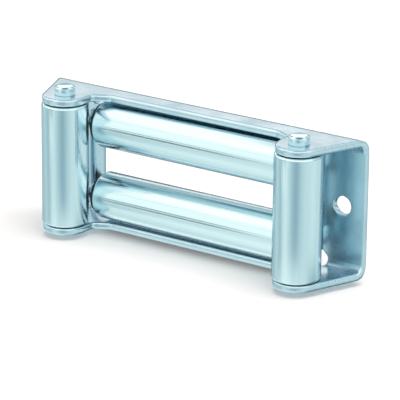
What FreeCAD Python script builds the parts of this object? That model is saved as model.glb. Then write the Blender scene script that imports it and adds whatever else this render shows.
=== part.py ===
import FreeCAD, Part
import Sketcher
import math
import os

# Roller fairlead: a folded steel channel that carries two vertical and two horizontal rollers.
# X runs along the fairlead, the rollers face -Y, Z is up.
# The origin is on the rear mounting face, midway between the two mounting bolts.

# Each size in millimetres, with what it sets.
DRIVING_SIZES = {
    # Folded frame
    "frame_height": (114.3, "over the two flanges"),
    "plate": (6.0, "thickness of the folded plate"),
    "fold_radius": (6.0, "inner radius of the folds"),
    "recess_depth": (27.5, "rear face to the front edge between the ears"),
    "ear_radius": (18.4, "rounding of the ears about the vertical pins"),
    "slope_width": (12.5, "sloping edge from the straight front edge to each ear, along X"),
    "slope_drop": (6.5, "the same edge, forward"),
    "notch_rounding": (3.0, "rounding of the corner beside each ear"),
    "recess_rounding": (8.0, "rounding at the end of the straight front edge"),
    # Side tabs
    "tab_inset": (12.7, "vertical pin to the face of a side tab, towards the middle"),
    "tab_depth": (22.0, "rear face to the front edge of a side tab"),
    "tab_ear_radius": (7.2, "rounding of the tab about a horizontal spindle"),
    "tab_ear_rounding": (3.0, "rounding where that ear leaves the tab"),
    "relief_inset": (2.7, "root of the tab's fold to the relief hole, towards the middle"),
    "relief_drop": (9.85, "outer face of a flange to the centre of the relief hole"),
    "relief_radius": (6.9, "relief hole"),
    # Mounting bolts
    "bolt_spacing": (254.0, "between the two mounting bolt holes"),
    "bolt_hole": (15.0, "diameter of a mounting bolt hole"),
    "end_margin": (20.0, "mounting bolt to the end of the frame"),
    # Rollers
    "roller_diameter": (38.1, "outside of every roller"),
    "roller_wall": (3.6, "wall of the roller tube"),
    "roller_rounding": (2.0, "rounded rim of a roller"),
    "pin_inset": (15.6, "mounting bolt to the vertical pin, towards the middle"),
    "roller_overlap": (12.2, "depth that a vertical roller shares with the horizontal ones"),
    "end_gap": (0.65, "flange to the end of a vertical roller, and end float of a horizontal one"),
    "flange_gap": (1.95, "flange to a horizontal roller"),
    "rear_gap": (0.55, "mounting face to a horizontal roller"),
    # Vertical pins
    "pin_diameter": (12.7, "shank of a vertical pin, and a horizontal spindle between its shoulders"),
    "pin_head_rim": (1.9, "head beyond the shank, all round"),
    "pin_head_height": (7.0, "height of the head"),
    "pin_head_bevel": (2.0, "bevel of the head, across"),
    "pin_head_bevel_height": (1.3, "bevel of the head, down"),
    "pin_tail": (4.2, "pin below the lower flange"),
    "pin_tail_bevel": (1.0, "bevel at the tail"),
    "groove_depth": (0.6, "depth of the ring groove"),
    # Retaining rings
    "ring_thickness": (1.2, "thickness of a retaining ring"),
    "ring_width": (3.0, "bore to the outside of a retaining ring"),
    "ring_opening": (4.5, "opening between the ends of a retaining ring"),
    "ring_lug_diameter": (4.4, "lug at each end of a retaining ring"),
    "ring_lug_hole": (1.6, "plier hole in a lug"),
    # Horizontal spindles
    "spindle_shoulder": (1.6, "step down to the end that passes through the side tab"),
    "rivet_rim": (1.55, "riveted head beyond that end, all round"),
    "rivet_height": (1.8, "height of the riveted head"),
    # Bushes and washers
    "bush_length": (16.0, "bush inside the roller"),
    "bush_sink": (0.4, "end of a plain bush below the roller's rim"),
    "bush_flange_diameter": (33.0, "flange of a flanged bush"),
    "bush_flange": (3.0, "thickness of that flange"),
    "washer_diameter": (22.0, "thrust washer"),
    "washer_thickness": (4.0, "thrust washer"),
    # Clearances
    "pin_clearance": (0.05, "pin in its plate hole, each side"),
    "running_clearance": (0.08, "pin in its bush, each side"),
    "press_clearance": (0.01, "bush in its tube, each side"),
    "seat_gap": (0.05, "between seated flat faces"),
}

# Places and sizes that follow from the driving sizes.
HALF_WIDTH = "(Sizes.bolt_spacing / 2 + Sizes.end_margin)"
HALF_HEIGHT = "Sizes.frame_height / 2"
PIN_PLACE = "(Sizes.bolt_spacing / 2 - Sizes.pin_inset)"
PIN_DEPTH = "(Sizes.rear_gap + 3 * Sizes.roller_diameter / 2 - Sizes.roller_overlap)"
PIN_RADIUS = "Sizes.pin_diameter / 2"
SPINDLE_DEPTH = "(Sizes.rear_gap + Sizes.roller_diameter / 2)"
SPINDLE_HEIGHT = ("(Sizes.frame_height / 2 - Sizes.plate - Sizes.flange_gap"
                  " - Sizes.roller_diameter / 2)")
SPINDLE_END = "(Sizes.pin_diameter / 2 - Sizes.spindle_shoulder)"
TAB_PLACE = "(%s - Sizes.tab_inset)" % PIN_PLACE
TAB_ROOT = "(%s + Sizes.plate + Sizes.fold_radius)" % TAB_PLACE
HORIZONTAL_END = ("(%s - Sizes.seat_gap - Sizes.washer_thickness"
                  " - Sizes.end_gap - Sizes.bush_flange)") % TAB_PLACE
NOTCH_PLACE = "(%s - Sizes.ear_radius)" % PIN_PLACE
NOTCH_DEPTH = "(Sizes.recess_depth + Sizes.slope_drop)"
RECESS_HALF = "(%s - Sizes.slope_width)" % NOTCH_PLACE
RELIEF_PLACE = "(%s - Sizes.relief_inset)" % TAB_ROOT
RELIEF_HEIGHT = "(Sizes.frame_height / 2 - Sizes.relief_drop)"
TAB_HALF_HEIGHT = "(%s - Sizes.relief_radius)" % RELIEF_HEIGHT
TUBE_BORE = "(Sizes.roller_diameter / 2 - Sizes.roller_wall)"
BUSH_BORE = "(Sizes.pin_diameter / 2 + Sizes.running_clearance)"

# How far a measured edge may lie from where its sizes put it.
TOLERANCE = 0.05

doc = FreeCAD.newDocument("roller_fairlead")
sizes = doc.addObject("Spreadsheet::Sheet", "Sizes")


def fill_sheet():
    """Write one row for each driving size: its name, its value and what it sets."""
    for row, (name, (value, meaning)) in enumerate(DRIVING_SIZES.items(), start=1):
        sizes.set("A%d" % row, name)
        sizes.set("B%d" % row, "%g" % value)
        sizes.set("C%d" % row, meaning)
        sizes.setAlias("B%d" % row, name)
    doc.recompute()


def number(expression):
    """Value of an expression in the sheet's sizes."""
    return float(sizes.evalExpression(expression))


def add_body(name):
    body = doc.addObject("PartDesign::Body", name)
    body.Label = name
    return body


def origin_plane(body, role):
    return [feature for feature in body.Origin.OriginFeatures if feature.Role == role][0]


def add_sketch(body, name, role, offset="0"):
    """Sketch on one of the body's own planes, raised along the plane's normal by an expression."""
    sketch = body.newObject("Sketcher::SketchObject", name)
    sketch.AttachmentSupport = (origin_plane(body, role), [""])
    sketch.MapMode = "FlatFace"
    sketch.setExpression("AttachmentOffset.Base.z", offset)
    return sketch


def hold_length(sketch, constraint, expression):
    """Add a dimension and bind it to the sheet."""
    index = sketch.addConstraint(constraint)
    label = "size%d" % index
    sketch.renameConstraint(index, label)
    sketch.setExpression("Constraints." + label, expression)


def hold_on_axis(sketch, axis, geometry, point):
    """Hold a point on the sketch's horizontal or vertical axis, which the sketcher numbers -1 and -2."""
    if axis == "horizontal":
        sketch.addConstraint(Sketcher.Constraint("PointOnObject", geometry, point, -1))
    else:
        sketch.addConstraint(Sketcher.Constraint("PointOnObject", geometry, point, -2))


def hold_distance(sketch, kind, geometry, point, expression):
    """Hold a point at a distance from the sketch's origin, which is point 1 of the sketcher's object -1."""
    constraint = Sketcher.Constraint(kind, -1, 1, geometry, point, number(expression))
    hold_length(sketch, constraint, expression)


def hold_point(sketch, geometry, point, x, y):
    """Hold a point of the sketch at two expressions, measured from the sketch's origin."""
    if x == "0":
        hold_on_axis(sketch, "vertical", geometry, point)
    else:
        hold_distance(sketch, "DistanceX", geometry, point, x)
    if y == "0":
        hold_on_axis(sketch, "horizontal", geometry, point)
    else:
        hold_distance(sketch, "DistanceY", geometry, point, y)


def add_outline(sketch, corners):
    """Closed outline of straight lines through corners, each a pair of expressions."""
    points = [FreeCAD.Vector(number(x), number(y), 0) for x, y in corners]
    first = sketch.GeometryCount
    count = len(points)
    for index in range(count):
        sketch.addGeometry(Part.LineSegment(points[index], points[(index + 1) % count]), False)
    for index in range(count):
        following = first + (index + 1) % count
        sketch.addConstraint(Sketcher.Constraint("Coincident", first + index, 2, following, 1))
    for index, (x, y) in enumerate(corners):
        hold_point(sketch, first + index, 1, x, y)


def add_circle(sketch, x, y, radius):
    """Circle held at two expressions, with its radius bound to a third."""
    centre = FreeCAD.Vector(number(x), number(y), 0)
    index = sketch.addGeometry(Part.Circle(centre, FreeCAD.Vector(0, 0, 1), number(radius)), False)
    hold_point(sketch, index, 3, x, y)
    hold_length(sketch, Sketcher.Constraint("Radius", index, number(radius)), radius)


def add_pad(body, name, sketch, length, middle=False):
    pad = body.newObject("PartDesign::Pad", name)
    pad.Profile = sketch
    pad.setExpression("Length", length)
    pad.Midplane = middle
    doc.recompute()
    return pad


def cut_through(body, name, sketch):
    """Cut a sketch through everything, both ways."""
    before = body.Shape.Volume
    pocket = body.newObject("PartDesign::Pocket", name)
    pocket.Profile = sketch
    pocket.Type = "ThroughAll"
    pocket.Midplane = True
    doc.recompute()
    require_less(body, name, before)
    return pocket


def cut_depth(body, name, sketch, depth, reverse):
    """Cut a sketch to a depth, along the sketch's normal when reverse is set."""
    before = body.Shape.Volume
    pocket = body.newObject("PartDesign::Pocket", name)
    pocket.Profile = sketch
    pocket.setExpression("Length", depth)
    pocket.Reversed = reverse
    doc.recompute()
    require_less(body, name, before)
    return pocket


def require_less(body, name, before):
    if body.Shape.Volume >= before:
        raise ValueError("%s removed nothing from %s" % (name, body.Label))


def add_revolution(body, name, sketch):
    """Turn a sketch about its own vertical axis."""
    turned = body.newObject("PartDesign::Revolution", name)
    turned.Profile = sketch
    turned.ReferenceAxis = (sketch, ["V_Axis"])
    turned.Angle = 360
    doc.recompute()
    return turned


def add_mirror(body, name, features, role):
    """Repeat features on the other side of one of the body's own planes."""
    mirror = body.newObject("PartDesign::Mirrored", name)
    mirror.Originals = features
    mirror.MirrorPlane = (origin_plane(body, role), [""])
    body.Tip = mirror
    doc.recompute()
    return mirror


def add_fillet(body, name, chosen, radius):
    """Round the chosen edges of the body as it stands."""
    fillet = body.newObject("PartDesign::Fillet", name)
    base = fillet.BaseFeature if fillet.BaseFeature else body.Tip
    fillet.Base = (base, ["Edge%d" % number for number in chosen(base.Shape)])
    fillet.setExpression("Radius", radius)
    doc.recompute()
    return fillet


def straight_edges(direction, near):
    """Choose straight edges along a direction whose middle satisfies a test."""
    def chosen(shape):
        numbers = []
        for index, edge in enumerate(shape.Edges, start=1):
            if not isinstance(edge.Curve, Part.Line):
                continue
            if abs(edge.Curve.Direction.dot(direction)) > 0.999 and near(edge.CenterOfMass):
                numbers.append(index)
        return numbers
    return chosen


def round_edges(radius):
    """Choose full circles of one radius."""
    def chosen(shape):
        numbers = []
        for index, edge in enumerate(shape.Edges, start=1):
            if isinstance(edge.Curve, Part.Circle) and close_to(edge.Curve.Radius, radius):
                numbers.append(index)
        return numbers
    return chosen


def close_to(value, expression):
    return abs(value - number(expression)) < TOLERANCE


def place(body, x, y, z, rotation=None):
    """Put a body at three expressions."""
    if rotation is not None:
        body.Placement = FreeCAD.Placement(FreeCAD.Vector(), rotation)
    body.setExpression("Placement.Base.x", x)
    body.setExpression("Placement.Base.y", y)
    body.setExpression("Placement.Base.z", z)


def add_ear_trim(body):
    """Sketch of the plate that is cut away in front of one half of the flange's outline."""
    sketch = add_sketch(body, "ear_trim", "XY_Plane")
    width = number(HALF_WIDTH)
    plate = number("Sizes.plate")
    pin_x = number(PIN_PLACE)
    pin_y = number(PIN_DEPTH)
    radius = number("Sizes.ear_radius")
    reach = math.hypot(width - pin_x, pin_y - plate)
    slant = math.acos(radius / reach) - math.atan2(pin_y - plate, width - pin_x)
    margin = 2 * width
    far = -2 * pin_y
    centre = FreeCAD.Vector(pin_x, -pin_y, 0)
    tangent = centre + FreeCAD.Vector(math.cos(slant), -math.sin(slant), 0) * radius
    inner = centre - FreeCAD.Vector(radius, 0, 0)
    points = [
        FreeCAD.Vector(0, -number("Sizes.recess_depth"), 0),
        FreeCAD.Vector(number(RECESS_HALF), -number("Sizes.recess_depth"), 0),
        FreeCAD.Vector(pin_x - radius, -number(NOTCH_DEPTH), 0),
        inner,
        tangent,
        FreeCAD.Vector(width, -plate, 0),
        FreeCAD.Vector(margin, -plate, 0),
        FreeCAD.Vector(margin, far, 0),
        FreeCAD.Vector(0, far, 0),
    ]
    ear = 3
    for index, start in enumerate(points):
        end = points[(index + 1) % len(points)]
        if index == ear:
            circle = Part.Circle(centre, FreeCAD.Vector(0, 0, 1), radius)
            sketch.addGeometry(Part.ArcOfCircle(circle, math.pi, 2 * math.pi - slant), False)
        else:
            sketch.addGeometry(Part.LineSegment(start, end), False)
    front, slope, side, _, flank, back, end_line, far_line, middle = range(len(points))
    for one, other in ((front, slope), (slope, side), (flank, back), (back, end_line),
                       (end_line, far_line), (far_line, middle), (middle, front)):
        sketch.addConstraint(Sketcher.Constraint("Coincident", one, 2, other, 1))
    sketch.addConstraint(Sketcher.Constraint("Tangent", side, 2, ear, 1))
    sketch.addConstraint(Sketcher.Constraint("Tangent", ear, 2, flank, 1))
    for line in (front, back, far_line):
        sketch.addConstraint(Sketcher.Constraint("Horizontal", line))
    for line in (side, end_line):
        sketch.addConstraint(Sketcher.Constraint("Vertical", line))
    hold_point(sketch, ear, 3, PIN_PLACE, "-" + PIN_DEPTH)
    hold_length(sketch, Sketcher.Constraint("Radius", ear, radius), "Sizes.ear_radius")
    hold_point(sketch, front, 1, "0", "-Sizes.recess_depth")
    hold_distance(sketch, "DistanceX", front, 2, RECESS_HALF)
    hold_distance(sketch, "DistanceY", slope, 2, "-" + NOTCH_DEPTH)
    hold_point(sketch, back, 1, HALF_WIDTH, "-Sizes.plate")
    hold_point(sketch, far_line, 1, "2 * " + HALF_WIDTH, "-2 * " + PIN_DEPTH)
    hold_on_axis(sketch, "vertical", middle, 1)
    return sketch


def add_tab_fold(body):
    """Section of one side tab and its fold, seen from above."""
    sketch = add_sketch(body, "tab_fold_section", "XY_Plane")
    bend = "-(Sizes.plate + Sizes.fold_radius)"
    inner = number("Sizes.fold_radius")
    outer = number("Sizes.fold_radius + Sizes.plate")
    centre = FreeCAD.Vector(number(TAB_ROOT), number(bend), 0)
    axis = FreeCAD.Vector(0, 0, 1)
    front = -number("Sizes.tab_depth")
    corner = {
        "root_rear": FreeCAD.Vector(centre.x, 0, 0),
        "face_bend": FreeCAD.Vector(centre.x - outer, centre.y, 0),
        "face_front": FreeCAD.Vector(centre.x - outer, front, 0),
        "back_front": FreeCAD.Vector(centre.x - inner, front, 0),
        "back_bend": FreeCAD.Vector(centre.x - inner, centre.y, 0),
        "root_front": FreeCAD.Vector(centre.x, -number("Sizes.plate"), 0),
    }
    outer_arc = sketch.addGeometry(
        Part.ArcOfCircle(Part.Circle(centre, axis, outer), math.pi / 2, math.pi), False)
    face_line = sketch.addGeometry(Part.LineSegment(corner["face_bend"], corner["face_front"]), False)
    front_line = sketch.addGeometry(Part.LineSegment(corner["face_front"], corner["back_front"]), False)
    back_line = sketch.addGeometry(Part.LineSegment(corner["back_front"], corner["back_bend"]), False)
    inner_arc = sketch.addGeometry(
        Part.ArcOfCircle(Part.Circle(centre, axis, inner), math.pi / 2, math.pi), False)
    root_line = sketch.addGeometry(Part.LineSegment(corner["root_front"], corner["root_rear"]), False)
    sketch.addConstraint(Sketcher.Constraint("Tangent", outer_arc, 2, face_line, 1))
    sketch.addConstraint(Sketcher.Constraint("Coincident", face_line, 2, front_line, 1))
    sketch.addConstraint(Sketcher.Constraint("Coincident", front_line, 2, back_line, 1))
    sketch.addConstraint(Sketcher.Constraint("Tangent", back_line, 2, inner_arc, 2))
    sketch.addConstraint(Sketcher.Constraint("Coincident", inner_arc, 1, root_line, 1))
    sketch.addConstraint(Sketcher.Constraint("Coincident", root_line, 2, outer_arc, 1))
    sketch.addConstraint(Sketcher.Constraint("Coincident", outer_arc, 3, inner_arc, 3))
    for line in (face_line, back_line, root_line):
        sketch.addConstraint(Sketcher.Constraint("Vertical", line))
    sketch.addConstraint(Sketcher.Constraint("Horizontal", front_line))
    hold_point(sketch, outer_arc, 3, TAB_ROOT, bend)
    hold_length(sketch, Sketcher.Constraint("Radius", outer_arc, outer), "Sizes.plate + Sizes.fold_radius")
    hold_length(sketch, Sketcher.Constraint("Radius", inner_arc, inner), "Sizes.fold_radius")
    hold_distance(sketch, "DistanceY", face_line, 2, "-Sizes.tab_depth")
    hold_distance(sketch, "DistanceX", root_line, 1, TAB_ROOT)
    return sketch


def add_tab_ear(body, name, height):
    """Outline of the ear about one horizontal spindle, on the face of the side tab."""
    sketch = add_sketch(body, name, "YZ_Plane", TAB_PLACE)
    depth = "-" + SPINDLE_DEPTH
    radius = number("Sizes.tab_ear_radius")
    rear = "-(Sizes.plate + Sizes.fold_radius)"
    centre = FreeCAD.Vector(number(depth), number(height), 0)
    upper = FreeCAD.Vector(centre.x, centre.y + radius, 0)
    lower = FreeCAD.Vector(centre.x, centre.y - radius, 0)
    upper_rear = FreeCAD.Vector(number(rear), upper.y, 0)
    lower_rear = FreeCAD.Vector(number(rear), lower.y, 0)
    circle = Part.Circle(centre, FreeCAD.Vector(0, 0, 1), radius)
    nose = sketch.addGeometry(Part.ArcOfCircle(circle, math.pi / 2, 3 * math.pi / 2), False)
    lower_line = sketch.addGeometry(Part.LineSegment(lower, lower_rear), False)
    rear_line = sketch.addGeometry(Part.LineSegment(lower_rear, upper_rear), False)
    upper_line = sketch.addGeometry(Part.LineSegment(upper_rear, upper), False)
    sketch.addConstraint(Sketcher.Constraint("Tangent", nose, 2, lower_line, 1))
    sketch.addConstraint(Sketcher.Constraint("Coincident", lower_line, 2, rear_line, 1))
    sketch.addConstraint(Sketcher.Constraint("Coincident", rear_line, 2, upper_line, 1))
    sketch.addConstraint(Sketcher.Constraint("Tangent", upper_line, 2, nose, 1))
    sketch.addConstraint(Sketcher.Constraint("Horizontal", lower_line))
    sketch.addConstraint(Sketcher.Constraint("Horizontal", upper_line))
    sketch.addConstraint(Sketcher.Constraint("Vertical", rear_line))
    hold_point(sketch, nose, 3, depth, height)
    hold_length(sketch, Sketcher.Constraint("Radius", nose, radius), "Sizes.tab_ear_radius")
    hold_distance(sketch, "DistanceX", rear_line, 1, rear)
    return sketch


def build_frame():
    """Channel folded from one plate, with ears, window, side tabs and holes."""
    body = add_body("frame")
    outer_fold = "Sizes.plate + Sizes.fold_radius"
    x_axis = FreeCAD.Vector(1, 0, 0)
    y_axis = FreeCAD.Vector(0, 1, 0)
    z_axis = FreeCAD.Vector(0, 0, 1)

    section = add_sketch(body, "channel_section", "YZ_Plane")
    reach = "-(" + PIN_DEPTH + " + Sizes.ear_radius)"
    inside = "-Sizes.plate"
    low = "-Sizes.frame_height / 2"
    low_inside = "-Sizes.frame_height / 2 + Sizes.plate"
    high_inside = "Sizes.frame_height / 2 - Sizes.plate"
    add_outline(section, [
        ("0", low), ("0", HALF_HEIGHT), (reach, HALF_HEIGHT), (reach, high_inside),
        (inside, high_inside), (inside, low_inside), (reach, low_inside), (reach, low)])
    add_pad(body, "channel", section, "2 * " + HALF_WIDTH, middle=True)
    add_fillet(body, "outer_folds", straight_edges(x_axis, lambda p: close_to(p.y, "0")), outer_fold)
    add_fillet(body, "inner_folds", straight_edges(
        x_axis, lambda p: close_to(p.y, inside) and abs(p.z) < number(high_inside) + 0.05),
        "Sizes.fold_radius")

    right_trim = cut_through(body, "right_ear_outline", add_ear_trim(body))
    add_mirror(body, "left_ear_outline", [right_trim], "YZ_Plane")
    add_fillet(body, "notch_corners", straight_edges(
        z_axis, lambda p: close_to(abs(p.x), NOTCH_PLACE) and close_to(p.y, "-" + NOTCH_DEPTH)),
        "Sizes.notch_rounding")
    add_fillet(body, "recess_corners", straight_edges(
        z_axis, lambda p: close_to(abs(p.x), RECESS_HALF) and close_to(p.y, "-Sizes.recess_depth")),
        "Sizes.recess_rounding")

    window = add_sketch(body, "window_outline", "XZ_Plane")
    window_top = "(Sizes.frame_height / 2 - Sizes.plate - Sizes.fold_radius)"
    add_outline(window, [
        ("-" + TAB_ROOT, "-" + window_top), (TAB_ROOT, "-" + window_top),
        (TAB_ROOT, window_top), ("-" + TAB_ROOT, window_top)])
    cut_through(body, "window", window)

    reliefs = add_sketch(body, "relief_holes_outline", "XZ_Plane")
    for across in ("-", ""):
        for up in ("-", ""):
            add_circle(reliefs, across + RELIEF_PLACE, up + RELIEF_HEIGHT, "Sizes.relief_radius")
    relief_depth = "Sizes.plate + Sizes.fold_radius / 2"
    cut_depth(body, "relief_holes", reliefs, relief_depth, reverse=True)

    fold = add_pad(body, "right_tab", add_tab_fold(body), "2 * " + TAB_HALF_HEIGHT, middle=True)
    upper_ear = add_pad(
        body, "right_upper_tab_ear", add_tab_ear(body, "upper_ear_outline", SPINDLE_HEIGHT), "Sizes.plate")
    lower_ear = add_pad(
        body, "right_lower_tab_ear", add_tab_ear(body, "lower_ear_outline", "-" + SPINDLE_HEIGHT),
        "Sizes.plate")
    add_mirror(body, "left_tab", [fold, upper_ear, lower_ear], "YZ_Plane")
    add_fillet(body, "tab_ear_corners", straight_edges(
        x_axis, lambda p: close_to(p.y, "-Sizes.tab_depth") and abs(p.z) < 0.99 * number(TAB_HALF_HEIGHT)),
        "Sizes.tab_ear_rounding")

    bolts = add_sketch(body, "bolt_holes_outline", "XZ_Plane")
    pins = add_sketch(body, "pin_holes_outline", "XY_Plane")
    spindles = add_sketch(body, "spindle_holes_outline", "YZ_Plane")
    for sign in ("-", ""):
        add_circle(bolts, sign + "Sizes.bolt_spacing / 2", "0", "Sizes.bolt_hole / 2")
        add_circle(pins, sign + PIN_PLACE, "-" + PIN_DEPTH, PIN_RADIUS + " + Sizes.pin_clearance")
        add_circle(spindles, "-" + SPINDLE_DEPTH, sign + SPINDLE_HEIGHT,
                   SPINDLE_END + " + Sizes.pin_clearance")
    cut_through(body, "bolt_holes", bolts)
    cut_through(body, "pin_holes", pins)
    cut_through(body, "spindle_holes", spindles)
    return body


def build_roller(name, length):
    """Tube with rounded rims, about its own Z axis."""
    body = add_body(name)
    ring = add_sketch(body, name + "_section", "XY_Plane")
    add_circle(ring, "0", "0", "Sizes.roller_diameter / 2")
    add_circle(ring, "0", "0", TUBE_BORE)
    add_pad(body, name + "_tube", ring, length, middle=True)
    add_fillet(body, name + "_rims", round_edges("Sizes.roller_diameter / 2"), "Sizes.roller_rounding")
    return body


def build_bush(name, flanged):
    """Bush whose body runs down from its own origin, with a flange above it when flanged."""
    body = add_body(name)
    section = add_sketch(body, name + "_section", "XZ_Plane")
    outside = TUBE_BORE + " - Sizes.press_clearance"
    corners = [(BUSH_BORE, "-Sizes.bush_length"), (outside, "-Sizes.bush_length")]
    if flanged:
        rim = "Sizes.bush_flange_diameter / 2"
        corners += [(outside, "0"), (rim, "0"), (rim, "Sizes.bush_flange"), (BUSH_BORE, "Sizes.bush_flange")]
    else:
        corners += [(outside, "0"), (BUSH_BORE, "0")]
    add_outline(section, corners)
    add_revolution(body, name + "_turned", section)
    return body


def build_vertical_pin(name):
    """Headed pin with a ring groove at its tail; its origin is under the head."""
    body = add_body(name)
    section = add_sketch(body, name + "_section", "XZ_Plane")
    head = PIN_RADIUS + " + Sizes.pin_head_rim"
    crown = PIN_RADIUS + " + Sizes.pin_head_rim - Sizes.pin_head_bevel"
    top = "Sizes.pin_head_height"
    shoulder = "Sizes.pin_head_height - Sizes.pin_head_bevel_height"
    groove = PIN_RADIUS + " - Sizes.groove_depth"
    groove_top = "-(Sizes.frame_height + Sizes.seat_gap)"
    groove_foot = "-(Sizes.frame_height + Sizes.ring_thickness + 3 * Sizes.seat_gap)"
    tail = "-(Sizes.frame_height + Sizes.pin_tail)"
    bevel = "-(Sizes.frame_height + Sizes.pin_tail - Sizes.pin_tail_bevel)"
    add_outline(section, [
        ("0", tail), (PIN_RADIUS + " - Sizes.pin_tail_bevel", tail), (PIN_RADIUS, bevel),
        (PIN_RADIUS, groove_foot), (groove, groove_foot), (groove, groove_top), (PIN_RADIUS, groove_top),
        (PIN_RADIUS, "0"), (head, "0"), (head, shoulder), (crown, top), ("0", top)])
    add_revolution(body, name + "_turned", section)
    return body


def build_spindle(name):
    """Spindle with shouldered ends riveted over the side tabs, about its own Z axis."""
    body = add_body(name)
    section = add_sketch(body, name + "_section", "XZ_Plane")
    head = SPINDLE_END + " + Sizes.rivet_rim"
    shoulder = TAB_PLACE + " - Sizes.seat_gap"
    under_head = TAB_PLACE + " + Sizes.plate + Sizes.seat_gap"
    top = TAB_PLACE + " + Sizes.plate + Sizes.seat_gap + Sizes.rivet_height"
    upper_half = [(PIN_RADIUS, shoulder), (SPINDLE_END, shoulder), (SPINDLE_END, under_head),
                  (head, under_head), (SPINDLE_END, top), ("0", top)]
    lower_half = [(x, "-(" + y + ")") for x, y in reversed(upper_half)]
    add_outline(section, lower_half + upper_half)
    add_revolution(body, name + "_turned", section)
    return body


def build_washer(name):
    body = add_body(name)
    ring = add_sketch(body, name + "_section", "XY_Plane")
    add_circle(ring, "0", "0", "Sizes.washer_diameter / 2")
    add_circle(ring, "0", "0", BUSH_BORE)
    add_pad(body, name + "_plate", ring, "Sizes.washer_thickness")
    return body


def build_ring(name):
    """Retaining ring with an opening and two plier lugs; its upper face is at its own origin."""
    body = add_body(name)
    base = "-Sizes.ring_thickness"
    ring = add_sketch(body, name + "_section", "XY_Plane", base)
    bore = "(Sizes.pin_diameter / 2 - Sizes.groove_depth + Sizes.pin_clearance)"
    add_circle(ring, "0", "0", bore + " + Sizes.ring_width")
    add_circle(ring, "0", "0", bore)
    add_pad(body, name + "_plate", ring, "Sizes.ring_thickness")
    lugs = add_sketch(body, name + "_lugs_outline", "XY_Plane", base)
    lug_holes = add_sketch(body, name + "_lug_holes_outline", "XY_Plane", base)
    lug_x = "(Sizes.ring_opening + Sizes.ring_lug_diameter) / 2"
    lug_y = "-(" + bore + " + Sizes.ring_width / 2)"
    for sign in ("-", ""):
        add_circle(lugs, sign + lug_x, lug_y, "Sizes.ring_lug_diameter / 2")
        add_circle(lug_holes, sign + lug_x, lug_y, "Sizes.ring_lug_hole / 2")
    add_pad(body, name + "_lugs", lugs, "Sizes.ring_thickness")
    opening = add_sketch(body, name + "_opening_outline", "XY_Plane", base)
    half = "Sizes.ring_opening / 2"
    beyond = "-2 * (" + bore + " + Sizes.ring_width)"
    add_outline(opening, [("-" + half, "0"), ("-" + half, beyond), (half, beyond), (half, "0")])
    cut_through(body, name + "_opening", opening)
    cut_through(body, name + "_lug_holes", lug_holes)
    return body


def build_vertical_set(side, sign):
    """Roller, bushes, pin and retaining ring about one vertical pin."""
    x = sign + PIN_PLACE
    y = "-" + PIN_DEPTH
    length = "Sizes.frame_height - 2 * Sizes.plate - 2 * Sizes.end_gap"
    bush_end = "(" + length + ") / 2 - Sizes.bush_sink"
    roller = build_roller("vertical_roller_" + side, length)
    place(roller, x, y, "0")
    upper_bush = build_bush("vertical_bush_" + side + "_upper", flanged=False)
    place(upper_bush, x, y, bush_end)
    lower_bush = build_bush("vertical_bush_" + side + "_lower", flanged=False)
    upside_down = FreeCAD.Rotation(FreeCAD.Vector(1, 0, 0), 180)
    place(lower_bush, x, y, "-(" + bush_end + ")", upside_down)
    pin = build_vertical_pin("vertical_pin_" + side)
    place(pin, x, y, HALF_HEIGHT)
    ring = build_ring("retaining_ring_" + side)
    place(ring, x, y, "-(Sizes.frame_height / 2 + 2 * Sizes.seat_gap)")
    return [roller, upper_bush, lower_bush, pin, ring]


def build_horizontal_set(level, sign):
    """Roller, bushes, spindle and thrust washers about one horizontal spindle."""
    y = "-" + SPINDLE_DEPTH
    z = sign + SPINDLE_HEIGHT
    washer_face = TAB_PLACE + " - Sizes.washer_thickness - Sizes.seat_gap"
    to_right = FreeCAD.Rotation(FreeCAD.Vector(0, 1, 0), 90)
    to_left = FreeCAD.Rotation(FreeCAD.Vector(0, 1, 0), -90)
    roller = build_roller("horizontal_roller_" + level, "2 * " + HORIZONTAL_END)
    place(roller, "0", y, z, to_right)
    spindle = build_spindle("horizontal_spindle_" + level)
    place(spindle, "0", y, z, to_right)
    pieces = [roller, spindle]
    for side, side_sign, rotation in (("left", "-", to_left), ("right", "", to_right)):
        bush = build_bush("horizontal_bush_" + level + "_" + side, flanged=True)
        place(bush, side_sign + HORIZONTAL_END, y, z, rotation)
        washer = build_washer("thrust_washer_" + level + "_" + side)
        place(washer, side_sign + "(" + washer_face + ")", y, z, rotation)
        pieces += [bush, washer]
    return pieces


def check_document(pieces):
    """Stop if any object failed or any piece is not one valid solid."""
    for item in doc.Objects:
        if "Invalid" in item.State or "Error" in item.State:
            raise ValueError("%s failed: %s" % (item.Name, item.State))
    for piece in pieces:
        shape = piece.Shape
        if shape.isNull() or not shape.isValid() or len(shape.Solids) != 1:
            raise ValueError("%s is not one valid solid" % piece.Label)


def main():
    fill_sheet()
    pieces = [build_frame()]
    for side, sign in (("left", "-"), ("right", "")):
        pieces += build_vertical_set(side, sign)
    for level, sign in (("upper", ""), ("lower", "-")):
        pieces += build_horizontal_set(level, sign)
    doc.recompute()
    check_document(pieces)
    os.makedirs("parts", exist_ok=True)
    for piece in pieces:
        piece.Shape.exportStep("parts/%s.step" % piece.Label)
        print(piece.Label, round(piece.Shape.Volume, 1))


main()
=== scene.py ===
import math

import bpy
from mathutils import Matrix, Vector


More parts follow.
